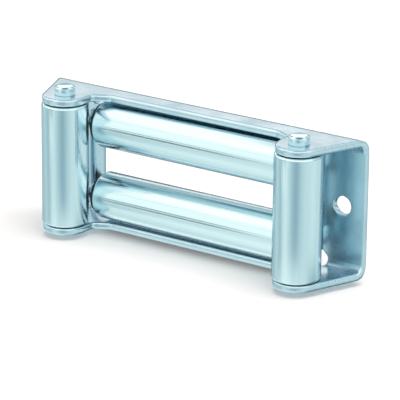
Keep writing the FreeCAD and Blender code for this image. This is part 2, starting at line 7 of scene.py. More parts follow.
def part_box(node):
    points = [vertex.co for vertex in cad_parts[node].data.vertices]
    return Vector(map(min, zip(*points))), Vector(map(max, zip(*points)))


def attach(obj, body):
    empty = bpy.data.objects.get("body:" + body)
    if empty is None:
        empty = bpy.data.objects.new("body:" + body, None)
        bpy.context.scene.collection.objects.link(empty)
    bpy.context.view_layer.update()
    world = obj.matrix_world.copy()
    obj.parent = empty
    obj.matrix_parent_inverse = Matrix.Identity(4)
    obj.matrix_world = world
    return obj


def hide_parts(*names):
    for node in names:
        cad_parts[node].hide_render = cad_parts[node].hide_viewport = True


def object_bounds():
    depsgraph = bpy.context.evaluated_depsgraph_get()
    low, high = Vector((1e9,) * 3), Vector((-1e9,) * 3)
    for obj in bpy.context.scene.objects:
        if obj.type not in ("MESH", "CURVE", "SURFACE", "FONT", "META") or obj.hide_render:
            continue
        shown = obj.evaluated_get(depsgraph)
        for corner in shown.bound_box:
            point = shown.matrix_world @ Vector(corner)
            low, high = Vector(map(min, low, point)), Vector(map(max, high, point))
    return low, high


bl_info = {
    "name": "Roller Fairlead",
    "version": (1, 0, 0),
    "blender": (4, 5, 0),
    "location": "View3D > Sidebar > Fairlead",
    "description": "Models and finishes a zinc-plated roller fairlead over its CAD frame",
    "category": "Add Mesh",
}

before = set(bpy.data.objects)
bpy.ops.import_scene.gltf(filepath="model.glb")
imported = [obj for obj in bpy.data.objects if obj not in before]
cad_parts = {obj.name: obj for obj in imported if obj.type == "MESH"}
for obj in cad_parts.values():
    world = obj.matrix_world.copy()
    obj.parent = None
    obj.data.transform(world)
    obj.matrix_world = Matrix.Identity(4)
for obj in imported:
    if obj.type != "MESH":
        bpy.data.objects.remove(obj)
CAD_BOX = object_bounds()

SIDES = ("left", "right")
LEVELS = ("upper", "lower")
UPRIGHT = (0.0, 0.0, 0.0)
TO_RIGHT = (0.0, math.pi / 2, 0.0)
TO_LEFT = (0.0, -math.pi / 2, 0.0)

# Edges and shading: how close points are merged, the angle under which a copy's facets are joined, the
# angles from which edges are bevelled or shaded sharp, and the segments of the bevels
MERGE_DISTANCE = 1e-6
FACET_ANGLE = math.radians(0.5)
BEVEL_ANGLE = math.radians(30)
BORE_BEVEL_ANGLE = math.radians(60)
RING_BEVEL_ANGLE = math.radians(50)
SHARP_ANGLE = math.radians(32)
RIVET_SHARP_ANGLE = math.radians(40)
FRAME_SHARP_ANGLE = math.radians(60)
NORMAL_WEIGHT = 60
RIM_SEGMENTS = 6
EDGE_SEGMENTS = 3
FINE_SEGMENTS = 2

# The folded plate: how nearly square to an axis a flat face is, the decimals of its place in metres,
# the share that each smoothing pass moves a point, and the angle under which faces are joined
SQUARE = 0.9999
PLACE_DECIMALS = 5
SMOOTHING = 0.5
FLAT_ANGLE = math.radians(0.8)

# A riveted head: degrees between the circles of its dome, and the share of its radius that is flat on top
RIVET_STEP = 15
RIVET_FLAT = 0.1

# The plating: the share of the haze's colour, how much rougher the haze is, and the strength of the relief
HAZE_SHARE = 0.55
HAZE_DULLING = 0.10
GRAIN_STRENGTH = 0.35
SPECKLE_STRENGTH = 0.25
SPECKLE_SCALE = 900.0
HAZE_RANGE = (0.35, 0.68)

# The studio that the polished metal sees: levels of light, 1 being white.
# By direction round the object, in degrees from straight in front towards its right end, a little below
# the horizon
RING = (
    (-180, 0.20), (-150, 0.20), (-125, 0.40), (-112, 0.60), (-100, 0.45), (-80, 0.70), (-68, 0.60),
    (-52, 0.44), (-40, 0.74), (-23, 0.88), (-6, 0.66), (6, 0.50), (16, 0.40), (24, 0.35), (30, 0.37),
    (38, 0.50), (46, 0.60), (66, 0.74), (97, 0.79), (114, 0.83), (133, 0.74), (148, 0.76), (157, 0.66),
    (168, 0.42), (180, 0.20),
)
# Below the object, by the same directions
UNDER = (
    (-180, 0.10), (-140, 0.10), (-128, 1.15), (-105, 1.15), (-85, 0.76), (-70, 0.80), (-50, 0.92),
    (-38, 1.0), (-20, 1.0), (80, 0.80), (105, 0.40), (130, 0.10), (180, 0.10),
)
# By height, from straight down at -1 to straight up at 1
FRONT_COLUMN = (
    (-1.0, 1.0), (-0.17, 1.0), (-0.14, 0.55), (-0.125, 0.02), (-0.025, 0.02), (-0.01, 0.60), (0.02, 1.15),
    (0.42, 1.22), (0.48, 0.98), (0.52, 1.02), (0.58, 1.45), (0.88, 1.50), (0.93, 0.70), (0.97, 0.20),
    (1.0, 0.16),
)
BACK_COLUMN = (
    (-1.0, 0.02), (0.10, 0.02), (0.18, 0.20), (0.25, 0.60), (0.28, 1.60), (0.39, 1.60), (0.43, 0.45),
    (0.51, 0.31), (0.59, 0.42), (0.66, 0.66), (0.72, 0.80), (0.765, 0.80), (0.80, 0.90), (0.825, 1.20),
    (0.86, 1.30), (0.93, 0.60), (0.97, 0.20), (1.0, 0.16),
)
# How much of the front column the directions and heights below the horizon take, the rest being the ring
COLUMN_DIRECTIONS = ((-180, 0.0), (-46, 0.0), (-41, 1.0), (-28, 1.0), (-23, 0.0), (180, 0.0))
COLUMN_HEIGHTS = ((-1.0, 0.0), (-0.26, 0.0), (-0.22, 1.0), (1.0, 1.0))
UNDER_HEIGHTS = ((-1.0, 1.0), (-0.50, 1.0), (-0.42, 0.0), (1.0, 0.0))
# Between these heights the ring blends into the columns, and between these depths the front column into
# the back one
HORIZON = (-0.03, 0.03)
BEHIND = (0.15, 0.22)
BRIGHTEST = 2.0
# How green and blue follow the level: scale, power, ceiling, and least share of the level
GREEN_TONE = (1.087, 0.755, 1.25, 0.90)
BLUE_TONE = (1.045, 0.63, 1.2, 0.86)

# The floor as the camera sees it, and the light on what isn't polished
FLOOR_SIZE = 12.0
FLOOR_GLOW = 0.15
SOFT_LIGHT = ((-1.0, 0.55), (0.0, 0.60), (0.6, 1.0), (1.0, 1.0))
SOFT_STRENGTH = 0.6
DULL = 0.9

# The dark card under the object, a sheet of painted shadow in place of the floor's shade there: length, width
# and height above the floor, in metres
CARD_LENGTH = 0.19
CARD_WIDTH = 0.025
CARD_LIFT = 0.0001

# The lamp, in metres and watts
LAMP_PLACE = (0.8, 0.1, 4.0)
LAMP_SIZE = 3.4
LAMP_POWER = 125.0

# The camera, in degrees round, above and about its own axis, millimetres of lens and metres
CAMERA_AZIMUTH = 34.675
CAMERA_ELEVATION = 18.72
CAMERA_ROLL = 0.569
CAMERA_LENS = 237.404
CAMERA_SENSOR = 36.0
CAMERA_PLACE = (1.1313, -1.6505, 0.6555)
CAMERA_REACH = (0.1, 20.0)


class FairleadSizes(bpy.types.PropertyGroup):
    """Sizes that the CAD nodes don't carry."""

    turned_sides: bpy.props.IntProperty(
        name="Turned sides", description="Facets round a roller, pin or bush", default=96, min=24)
    frame_mesh: bpy.props.FloatProperty(
        name="Frame mesh", description="Side of the even faces that the folded plate is remeshed with",
        default=0.0012, unit="LENGTH", subtype="DISTANCE")
    frame_rolling: bpy.props.IntProperty(
        name="Frame rolling", description="Passes of smoothing that roll the plate's edges", default=4, min=1)
    least_flat_area: bpy.props.FloatProperty(
        name="Least flat area", description="Area from which a flat face of the plate is levelled",
        default=0.0002, unit="AREA", precision=5)
    levelling_reach: bpy.props.FloatProperty(
        name="Levelling reach", description="Distance within which the remeshed plate is levelled",
        default=0.00004, unit="LENGTH", subtype="DISTANCE", precision=6)
    roller_rim: bpy.props.FloatProperty(
        name="Roller rim", description="Rounded rim of a roller",
        default=0.002, unit="LENGTH", subtype="DISTANCE")
    bore_edge: bpy.props.FloatProperty(
        name="Bore edge", description="Broken edge of a roller tube's bore",
        default=0.0003, unit="LENGTH", subtype="DISTANCE")
    roller_wall: bpy.props.FloatProperty(
        name="Roller wall", description="Wall of the roller tube",
        default=0.0036, unit="LENGTH", subtype="DISTANCE")
    shank_radius: bpy.props.FloatProperty(
        name="Shank radius", description="Radius of the pins and spindles where the rollers turn",
        default=0.00635, unit="LENGTH", subtype="DISTANCE")
    head_bevel: bpy.props.FloatProperty(
        name="Head bevel", description="Inward run of the slope round a pin's head",
        default=0.002, unit="LENGTH", subtype="DISTANCE")
    head_bevel_height: bpy.props.FloatProperty(
        name="Head bevel height", description="Height of the slope round a pin's head",
        default=0.0013, unit="LENGTH", subtype="DISTANCE")
    tail_bevel: bpy.props.FloatProperty(
        name="Tail bevel", description="Slope round a pin's tail",
        default=0.001, unit="LENGTH", subtype="DISTANCE")
    groove_depth: bpy.props.FloatProperty(
        name="Groove depth", description="Depth of the retaining ring's groove",
        default=0.0006, unit="LENGTH", subtype="DISTANCE")
    spindle_end_radius: bpy.props.FloatProperty(
        name="Spindle end radius", description="Radius of a spindle where it passes through its tab",
        default=0.00475, unit="LENGTH", subtype="DISTANCE")
    rivet_height: bpy.props.FloatProperty(
        name="Rivet height", description="Height of a spindle's riveted head",
        default=0.0018, unit="LENGTH", subtype="DISTANCE")
    rivet_radius: bpy.props.FloatProperty(
        name="Rivet radius", description="Radius of a spindle's riveted head",
        default=0.0063, unit="LENGTH", subtype="DISTANCE")
    bush_bore: bpy.props.FloatProperty(
        name="Bush bore", description="Radius of the bore of the bushes and washers",
        default=0.00643, unit="LENGTH", subtype="DISTANCE")
    flange_thickness: bpy.props.FloatProperty(
        name="Bush flange", description="Thickness of the flange on the lengthwise rollers' bushes",
        default=0.003, unit="LENGTH", subtype="DISTANCE")
    pin_edge: bpy.props.FloatProperty(
        name="Pin edge", description="Rounded edge of a headed pin",
        default=0.00035, unit="LENGTH", subtype="DISTANCE", precision=5)
    bush_edge: bpy.props.FloatProperty(
        name="Bush edge", description="Rounded edge of a bush or washer",
        default=0.0004, unit="LENGTH", subtype="DISTANCE", precision=5)
    ring_edge: bpy.props.FloatProperty(
        name="Ring edge", description="Rounded edge of a retaining ring",
        default=0.0001, unit="LENGTH", subtype="DISTANCE", precision=5)


class FairleadFinishes(bpy.types.PropertyGroup):
    """Colours of the finishes and of the studio."""

    zinc: bpy.props.FloatVectorProperty(
        name="Zinc", description="Bright zinc plating", subtype="COLOR", size=3,
        default=(0.70, 0.86, 0.91), min=0.0, max=1.0)
    zinc_haze: bpy.props.FloatVectorProperty(
        name="Zinc haze", description="Duller patches of the plating", subtype="COLOR", size=3,
        default=(0.60, 0.78, 0.84), min=0.0, max=1.0)
    satin_zinc: bpy.props.FloatVectorProperty(
        name="Satin zinc", description="Satin plating of the folded frame", subtype="COLOR", size=3,
        default=(0.60, 0.76, 0.84), min=0.0, max=1.0)
    satin_haze: bpy.props.FloatVectorProperty(
        name="Satin haze", description="Duller patches of the satin plating", subtype="COLOR", size=3,
        default=(0.52, 0.69, 0.78), min=0.0, max=1.0)
    nylon: bpy.props.FloatVectorProperty(
        name="Nylon", description="Black nylon of the bushes", subtype="COLOR", size=3,
        default=(0.012, 0.014, 0.017), min=0.0, max=1.0)
    nylon_haze: bpy.props.FloatVectorProperty(
        name="Nylon haze", description="Paler patches of the nylon", subtype="COLOR", size=3,
        default=(0.024, 0.027, 0.031), min=0.0, max=1.0)
    # The card's near-black is painted shadow: the metal reflects it in place of the shaded floor under the
    # object
    card: bpy.props.FloatVectorProperty(
        name="Dark card", description="Card that darkens the reflections under the object",
        subtype="COLOR", size=3, default=(0.02, 0.03, 0.04), min=0.0, max=1.0)
    floor: bpy.props.FloatVectorProperty(
        name="Floor", description="Pale studio floor", subtype="COLOR", size=3,
        default=(0.88, 0.85, 0.835), min=0.0, max=1.0)


def leave_selection():
    """Leave edit mode and select nothing."""
    if bpy.context.mode != "OBJECT":
        bpy.ops.object.mode_set(mode="OBJECT")
    bpy.ops.object.select_all(action="DESELECT")


def select_only(piece):
    """Select one piece and make it the active one."""
    leave_selection()
    piece.select_set(True)
    bpy.context.view_layer.objects.active = piece


def start_editing(piece, mode="VERT"):
    """Enter edit mode with nothing selected."""
    select_only(piece)
    bpy.ops.object.mode_set(mode="EDIT")
    bpy.ops.mesh.select_mode(type=mode)
    bpy.ops.mesh.select_all(action="DESELECT")


def apply_bevel(piece, width, segments, angle=BEVEL_ANGLE):
    """Round the edges that are sharper than an angle."""
    select_only(piece)
    bevel = piece.modifiers.new("edges", "BEVEL")
    bevel.width = width
    bevel.segments = segments
    bevel.limit_method = "ANGLE"
    bevel.angle_limit = angle
    bevel.miter_outer = "MITER_ARC"
    bevel.harden_normals = False
    bpy.ops.object.modifier_apply(modifier=bevel.name)


def apply_weighted_normals(piece):
    """Shade the large faces flat and let the rounded edges take the turn."""
    select_only(piece)
    weighted = piece.modifiers.new("normals", "WEIGHTED_NORMAL")
    weighted.keep_sharp = True
    weighted.weight = NORMAL_WEIGHT
    bpy.ops.object.modifier_apply(modifier=weighted.name)


def smooth(piece, angle=SHARP_ANGLE):
    """Shade smooth but for the edges sharper than an angle."""
    select_only(piece)
    bpy.ops.object.shade_smooth_by_angle(angle=angle)


def turn_profile(name, steps, hollow):
    """Draw a circle and extrude it through (radius, height) steps up the Z axis.

    A hollow profile ends where it began; a solid one is capped at both ends.
    """
    sizes = bpy.context.scene.fairlead_sizes
    leave_selection()
    radius, height = steps[0]
    bpy.ops.mesh.primitive_circle_add(
        vertices=sizes.turned_sides, radius=radius, fill_type="NOTHING", location=(0, 0, height))
    piece = bpy.context.active_object
    piece.name = name
    piece.data.name = name
    bpy.ops.object.transform_apply(location=True, rotation=True, scale=True)
    bpy.ops.object.mode_set(mode="EDIT")
    bpy.ops.mesh.select_mode(type="EDGE")
    bpy.ops.mesh.select_all(action="SELECT")
    if not hollow:
        bpy.ops.mesh.edge_face_add()
        bpy.ops.mesh.select_mode(type="EDGE")
    for next_radius, next_height in steps[1:]:
        bpy.ops.mesh.extrude_region_move(
            TRANSFORM_OT_translate={"value": (0, 0, next_height - height)})
        if next_radius != radius:
            factor = next_radius / radius
            bpy.ops.transform.resize(value=(factor, factor, 1), center_override=(0, 0, next_height))
        radius, height = next_radius, next_height
    bpy.ops.mesh.select_all(action="SELECT")
    if hollow:
        bpy.ops.mesh.remove_doubles(threshold=MERGE_DISTANCE)
    bpy.ops.mesh.normals_make_consistent(inside=False)
    leave_selection()
    return piece


def round_rims(piece, radius, heights, width):
    """Bevel the circles of one radius that lie at the given heights."""
    start_editing(piece, "EDGE")
    bpy.ops.object.mode_set(mode="OBJECT")
    mesh = piece.data
    near = 1e-5
    for edge in mesh.edges:
        ends = [mesh.vertices[index].co for index in edge.vertices]
        edge.select = all(
            abs(end.xy.length - radius) < near and min(abs(end.z - height) for height in heights) < near
            for end in ends)
    bpy.ops.object.mode_set(mode="EDIT")
    bpy.ops.mesh.bevel(offset=width, segments=RIM_SEGMENTS, affect="EDGES")
    leave_selection()


def put(piece, place, turn=UPRIGHT):
    """Turn a piece and set it down, then take its place into the mesh."""
    select_only(piece)
    piece.rotation_euler = turn
    piece.location = place
    bpy.ops.object.transform_apply(location=True, rotation=True, scale=True)


def remove_pieces(*pieces):
    """Delete the patterns that the finished pieces were copied from."""
    leave_selection()
    for piece in pieces:
        piece.select_set(True)
    bpy.ops.object.delete()


def copy_piece(piece, name):
    """Copy a piece with its own mesh."""
    select_only(piece)
    bpy.ops.object.duplicate(linked=False)
    copy = bpy.context.active_object
    copy.name = name
    copy.data.name = name
    return copy


def hand_over(piece, node, body, material):
    """Give a finished piece its material and let it stand for its CAD node."""
    piece.data.materials.clear()
    piece.data.materials.append(material)
    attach(piece, body)
    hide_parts(node)


def node_centre(node):
    """Middle of a CAD node's box."""
    low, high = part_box(node)
    return (low + high) / 2


def turned_size(node, axis):
    """Radius and half length of a round CAD node that lies along an axis."""
    low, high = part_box(node)
    across = (axis + 1) % 3
    return (high[across] - low[across]) / 2, (high[axis] - low[axis]) / 2


def copy_node(node, name):
    """Copy a CAD node and merge its loose triangles."""
    leave_selection()
    piece = bpy.data.objects.new(name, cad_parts[node].data.copy())
    bpy.context.scene.collection.objects.link(piece)
    start_editing(piece)
    bpy.ops.mesh.select_all(action="SELECT")
    bpy.ops.mesh.remove_doubles(threshold=MERGE_DISTANCE)
    select_only(piece)
    return piece


def dress_copy(node, name, width, corner):
    """Copy a CAD node and round its edges."""
    piece = copy_node(node, name)
    start_editing(piece)
    bpy.ops.mesh.select_all(action="SELECT")
    bpy.ops.mesh.dissolve_limited(angle_limit=FACET_ANGLE)
    leave_selection()
    apply_bevel(piece, width, FINE_SEGMENTS, corner)
    smooth(piece)
    apply_weighted_normals(piece)
    return piece


def find_flat_planes(piece, least_area):
    """Axis and place of each plane, square to an axis, that holds a large flat area."""
    areas = {}
    for face in piece.data.polygons:
        for axis in range(3):
            if abs(face.normal[axis]) > SQUARE:
                plane = (axis, round(face.center[axis], PLACE_DECIMALS))
                areas[plane] = areas.get(plane, 0.0) + face.area
    return [plane for plane, area in areas.items() if area > least_area]


def level_faces(piece, planes, reach):
    """Put each vertex that lies within reach of a plane onto it."""
    for vertex in piece.data.vertices:
        for axis, place in planes:
            if abs(vertex.co[axis] - place) < reach:
                vertex.co[axis] = place


# Shared effects of the finishes

def new_group(name, inputs, outputs):
    """Node group with named float, colour or vector inputs and outputs."""
    group = bpy.data.node_groups.new(name, "ShaderNodeTree")
    for socket_name, kind, default in inputs:
        socket = group.interface.new_socket(name=socket_name, in_out="INPUT", socket_type=kind)
        if default is not None:
            socket.default_value = default
    for socket_name, kind in outputs:
        group.interface.new_socket(name=socket_name, in_out="OUTPUT", socket_type=kind)
    start = group.nodes.new("NodeGroupInput")
    end = group.nodes.new("NodeGroupOutput")
    start.location = (-900, 0)
    end.location = (500, 0)
    return group, start, end


def set_inputs(node, values):
    """Set a node's inputs by name."""
    for name, value in values.items():
        node.inputs[name].default_value = value


def make_haze_group():
    """Soft cloudy patches of the plating, from 0 to 1."""
    group, start, end = new_group(
        "plating_haze",
        [("Position", "NodeSocketVector", None), ("Patch size", "NodeSocketFloat", 0.02),
         ("Streak", "NodeSocketVector", (1.0, 1.0, 1.0))],
        [("Haze", "NodeSocketFloat"), ("Speckle", "NodeSocketFloat")])
    stretch = group.nodes.new("ShaderNodeVectorMath")
    stretch.operation = "MULTIPLY"
    scale = group.nodes.new("ShaderNodeMath")
    scale.operation = "DIVIDE"
    scale.inputs[0].default_value = 1.0
    cloud = group.nodes.new("ShaderNodeTexNoise")
    set_inputs(cloud, {"Detail": 3.0, "Roughness": 0.55})
    patch = group.nodes.new("ShaderNodeMapRange")
    set_inputs(patch, {"From Min": HAZE_RANGE[0], "From Max": HAZE_RANGE[1]})
    fine = group.nodes.new("ShaderNodeTexNoise")
    set_inputs(fine, {"Scale": SPECKLE_SCALE, "Detail": 2.0})
    link = group.links.new
    link(start.outputs["Position"], stretch.inputs[0])
    link(start.outputs["Streak"], stretch.inputs[1])
    link(start.outputs["Patch size"], scale.inputs[1])
    link(stretch.outputs[0], cloud.inputs["Vector"])
    link(scale.outputs[0], cloud.inputs["Scale"])
    link(stretch.outputs[0], fine.inputs["Vector"])
    link(cloud.outputs["Fac"], patch.inputs["Value"])
    link(patch.outputs["Result"], end.inputs["Haze"])
    link(fine.outputs["Fac"], end.inputs["Speckle"])
    return group


def make_grain_group():
    """Height of fine drawn or ground lines that run along one axis."""
    group, start, end = new_group(
        "drawn_grain",
        [("Position", "NodeSocketVector", None), ("Along", "NodeSocketVector", (1.0, 1.0, 1.0)),
         ("Scale", "NodeSocketFloat", 400.0)],
        [("Height", "NodeSocketFloat")])
    stretch = group.nodes.new("ShaderNodeVectorMath")
    stretch.operation = "MULTIPLY"
    lines = group.nodes.new("ShaderNodeTexNoise")
    set_inputs(lines, {"Detail": 5.0, "Roughness": 0.6})
    link = group.links.new
    link(start.outputs["Position"], stretch.inputs[0])
    link(start.outputs["Along"], stretch.inputs[1])
    link(start.outputs["Scale"], lines.inputs["Scale"])
    link(stretch.outputs[0], lines.inputs["Vector"])
    link(lines.outputs["Fac"], end.inputs["Height"])
    return group


def place_group(tree, group, name):
    """Put a shared effect into a material."""
    node = tree.nodes.new("ShaderNodeGroup")
    node.node_tree = group
    node.name = name
    node.label = name
    return node


def make_zinc(name, groups, tones, along, roughness, patch_size, grain_depth):
    """Zinc plating over steel, with grain along one direction."""
    material = bpy.data.materials.new(name)
    material.use_nodes = True
    tree = material.node_tree
    link = tree.links.new
    surface = tree.nodes["Principled BSDF"]
    surface.inputs["Metallic"].default_value = 1.0
    position = tree.nodes.new("ShaderNodeTexCoord").outputs["Object"]

    haze = place_group(tree, groups["haze"], "Haze")
    set_inputs(haze, {"Patch size": patch_size, "Streak": along})
    grain = place_group(tree, groups["grain"], "Grain")
    set_inputs(grain, {"Along": along})
    for effect in (haze, grain):
        link(position, effect.inputs["Position"])

    clear, hazy = tones
    plating = tree.nodes.new("ShaderNodeMix")
    plating.data_type = "RGBA"
    set_inputs(plating, {"A": (*clear, 1.0), "B": (*hazy, 1.0)})
    amount = tree.nodes.new("ShaderNodeMath")
    amount.operation = "MULTIPLY"
    amount.inputs[1].default_value = HAZE_SHARE
    link(haze.outputs["Haze"], amount.inputs[0])
    link(amount.outputs[0], plating.inputs["Factor"])
    link(plating.outputs["Result"], surface.inputs["Base Color"])

    dull = tree.nodes.new("ShaderNodeMapRange")
    set_inputs(dull, {"To Min": roughness, "To Max": roughness + HAZE_DULLING})
    link(haze.outputs["Haze"], dull.inputs["Value"])
    link(dull.outputs["Result"], surface.inputs["Roughness"])

    relief = tree.nodes.new("ShaderNodeBump")
    set_inputs(relief, {"Strength": GRAIN_STRENGTH, "Distance": grain_depth})
    link(grain.outputs["Height"], relief.inputs["Height"])
    speckle = tree.nodes.new("ShaderNodeBump")
    set_inputs(speckle, {"Strength": SPECKLE_STRENGTH, "Distance": grain_depth})
    link(haze.outputs["Speckle"], speckle.inputs["Height"])
    link(relief.outputs["Normal"], speckle.inputs["Normal"])
    link(speckle.outputs["Normal"], surface.inputs["Normal"])
    return material


def make_nylon(groups):
    """Black moulded nylon with a faint sheen and fine pores."""
    finishes = bpy.context.scene.fairlead_finishes
    material = bpy.data.materials.new("black_nylon")
    material.use_nodes = True
    tree = material.node_tree
    link = tree.links.new
    surface = tree.nodes["Principled BSDF"]
    position = tree.nodes.new("ShaderNodeTexCoord").outputs["Object"]
    haze = place_group(tree, groups["haze"], "Haze")
    set_inputs(haze, {"Patch size": 0.006})
    link(position, haze.inputs["Position"])
    colour = tree.nodes.new("ShaderNodeMix")
    colour.data_type = "RGBA"
    set_inputs(colour, {"A": (*finishes.nylon, 1.0), "B": (*finishes.nylon_haze, 1.0)})
    link(haze.outputs["Haze"], colour.inputs["Factor"])
    link(colour.outputs["Result"], surface.inputs["Base Color"])
    dull = tree.nodes.new("ShaderNodeMapRange")
    set_inputs(dull, {"To Min": 0.38, "To Max": 0.55})
    link(haze.outputs["Speckle"], dull.inputs["Value"])
    link(dull.outputs["Result"], surface.inputs["Roughness"])
    pores = tree.nodes.new("ShaderNodeBump")
    set_inputs(pores, {"Strength": 0.2, "Distance": 0.00005})
    link(haze.outputs["Speckle"], pores.inputs["Height"])
    link(pores.outputs["Normal"], surface.inputs["Normal"])
    return material


def finish(name):
    """A finish that the first operator has made."""
    return bpy.data.materials[name]


class FAIRLEAD_OT_finishes(bpy.types.Operator):
    """Make the zinc and nylon finishes"""

    bl_idname = "fairlead.finishes"
    bl_label = "Finishes"

    def execute(self, context):
        groups = {"haze": make_haze_group(), "grain": make_grain_group()}
        finishes = context.scene.fairlead_finishes
        satin = (finishes.satin_zinc, finishes.satin_haze)
        bright = (finishes.zinc, finishes.zinc_haze)
        make_zinc("zinc_plate", groups, satin, along=(1.0, 1.0, 1.0),
                  roughness=0.20, patch_size=0.030, grain_depth=0.00002)
        make_zinc("zinc_upright", groups, bright, along=(1.0, 1.0, 0.04),
                  roughness=0.10, patch_size=0.010, grain_depth=0.00015)
        make_zinc("zinc_lengthwise", groups, bright, along=(0.02, 1.0, 1.0),
                  roughness=0.10, patch_size=0.012, grain_depth=0.00002)
        make_zinc("zinc_pin", groups, bright, along=(1.0, 1.0, 1.0),
                  roughness=0.07, patch_size=0.006, grain_depth=0.00001)
        make_nylon(groups)
        return {"FINISHED"}


class FAIRLEAD_OT_frame(bpy.types.Operator):
    """Roll the edges of the folded frame and finish it"""

    bl_idname = "fairlead.frame"
    bl_label = "Folded frame"

    def execute(self, context):
        sizes = context.scene.fairlead_sizes
        plate = copy_node("frame", "folded_frame")
        planes = find_flat_planes(plate, sizes.least_flat_area)
        even = plate.modifiers.new("even_faces", "REMESH")
        even.mode = "VOXEL"
        even.voxel_size = sizes.frame_mesh
        rolled = plate.modifiers.new("rolled_edges", "SMOOTH")
        rolled.factor = SMOOTHING
        rolled.iterations = sizes.frame_rolling
        for modifier in (even, rolled):
            bpy.ops.object.modifier_apply(modifier=modifier.name)
        level_faces(plate, planes, sizes.levelling_reach)
        flat = plate.modifiers.new("flat_faces", "DECIMATE")
        flat.decimate_type = "DISSOLVE"
        flat.angle_limit = FLAT_ANGLE
        bpy.ops.object.modifier_apply(modifier=flat.name)
        smooth(plate, FRAME_SHARP_ANGLE)
        apply_weighted_normals(plate)
        hand_over(plate, "frame", "frame", finish("zinc_plate"))
        return {"FINISHED"}


def make_roller(name, radius, half_length):
    """Roller tube standing on its axis, with rounded rims."""
    sizes = bpy.context.scene.fairlead_sizes
    bore = radius - sizes.roller_wall
    tube = turn_profile(name, [
        (radius, -half_length), (radius, half_length), (bore, half_length), (bore, -half_length),
        (radius, -half_length)], hollow=True)
    round_rims(tube, radius, (-half_length, half_length), sizes.roller_rim)
    apply_bevel(tube, sizes.bore_edge, FINE_SEGMENTS, BORE_BEVEL_ANGLE)
    smooth(tube)
    return tube


class FAIRLEAD_OT_vertical_rollers(bpy.types.Operator):
    """Turn the two upright rollers"""

    bl_idname = "fairlead.vertical_rollers"
    bl_label = "Upright rollers"

    def execute(self, context):
        radius, half_length = turned_size("vertical_roller_left", 2)
        first = make_roller("upright_roller_left", radius, half_length)
        second = copy_piece(first, "upright_roller_right")
        for side, roller in zip(SIDES, (first, second)):
            node = "vertical_roller_" + side
            put(roller, node_centre(node))
            hand_over(roller, node, node, finish("zinc_upright"))
        return {"FINISHED"}


class FAIRLEAD_OT_horizontal_rollers(bpy.types.Operator):
    """Turn the two lengthwise rollers"""

    bl_idname = "fairlead.horizontal_rollers"
    bl_label = "Lengthwise rollers"

    def execute(self, context):
        radius, half_length = turned_size("horizontal_roller_upper", 0)
        first = make_roller("lengthwise_roller_upper", radius, half_length)
        second = copy_piece(first, "lengthwise_roller_lower")
        for level, roller in zip(LEVELS, (first, second)):
            node = "horizontal_roller_" + level
            put(roller, node_centre(node), TO_RIGHT)
            hand_over(roller, node, node, finish("zinc_lengthwise"))
        return {"FINISHED"}


class FAIRLEAD_OT_vertical_pins(bpy.types.Operator):
    """Turn the two headed pins and cut their ring grooves"""

    bl_idname = "fairlead.vertical_pins"
    bl_label = "Headed pins"

    def execute(self, context):
        sizes = context.scene.fairlead_sizes
        head_radius, half_length = turned_size("vertical_pin_left", 2)
        middle = node_centre("vertical_pin_left").z
        under_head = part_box("frame")[1].z - middle
        ring_low, ring_high = (corner.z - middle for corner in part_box("retaining_ring_left"))
        shank = sizes.shank_radius
        groove = shank - sizes.groove_depth
        first = turn_profile("headed_pin_left", [
            (shank - sizes.tail_bevel, -half_length), (shank, sizes.tail_bevel - half_length),
            (shank, ring_low), (groove, ring_low), (groove, ring_high), (shank, ring_high),
            (shank, under_head), (head_radius, under_head),
            (head_radius, half_length - sizes.head_bevel_height),
            (head_radius - sizes.head_bevel, half_length)], hollow=False)
        apply_bevel(first, sizes.pin_edge, EDGE_SEGMENTS)
        smooth(first)
        second = copy_piece(first, "headed_pin_right")
        for side, pin in zip(SIDES, (first, second)):
            node = "vertical_pin_" + side
            put(pin, node_centre(node))
            hand_over(pin, node, "frame", finish("zinc_pin"))
        return {"FINISHED"}


class FAIRLEAD_OT_spindles(bpy.types.Operator):
    """Turn the two spindles and rivet their ends"""

    bl_idname = "fairlead.spindles"
    bl_label = "Riveted spindles"

    def execute(self, context):
        sizes = context.scene.fairlead_sizes
        half_length = turned_size("horizontal_spindle_upper", 0)[1]
        tab_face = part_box("thrust_washer_upper_right")[1].x
        under_head = half_length - sizes.rivet_height
        rim = sizes.rivet_radius
        upper_half = [(sizes.shank_radius, tab_face), (sizes.spindle_end_radius, tab_face),
                      (sizes.spindle_end_radius, under_head), (rim, under_head)]
        for angle in range(RIVET_STEP, 90, RIVET_STEP):
            turn = math.radians(angle)
            upper_half.append((rim * math.cos(turn), under_head + sizes.rivet_height * math.sin(turn)))
        upper_half.append((rim * RIVET_FLAT, half_length))
        lower_half = [(radius, -height) for radius, height in reversed(upper_half)]
        first = turn_profile("spindle_upper", lower_half + upper_half, hollow=False)
        smooth(first, RIVET_SHARP_ANGLE)
        second = copy_piece(first, "spindle_lower")
        for level, spindle in zip(LEVELS, (first, second)):
            node = "horizontal_spindle_" + level
            put(spindle, node_centre(node), TO_RIGHT)
            hand_over(spindle, node, "frame", finish("zinc_pin"))
        return {"FINISHED"}


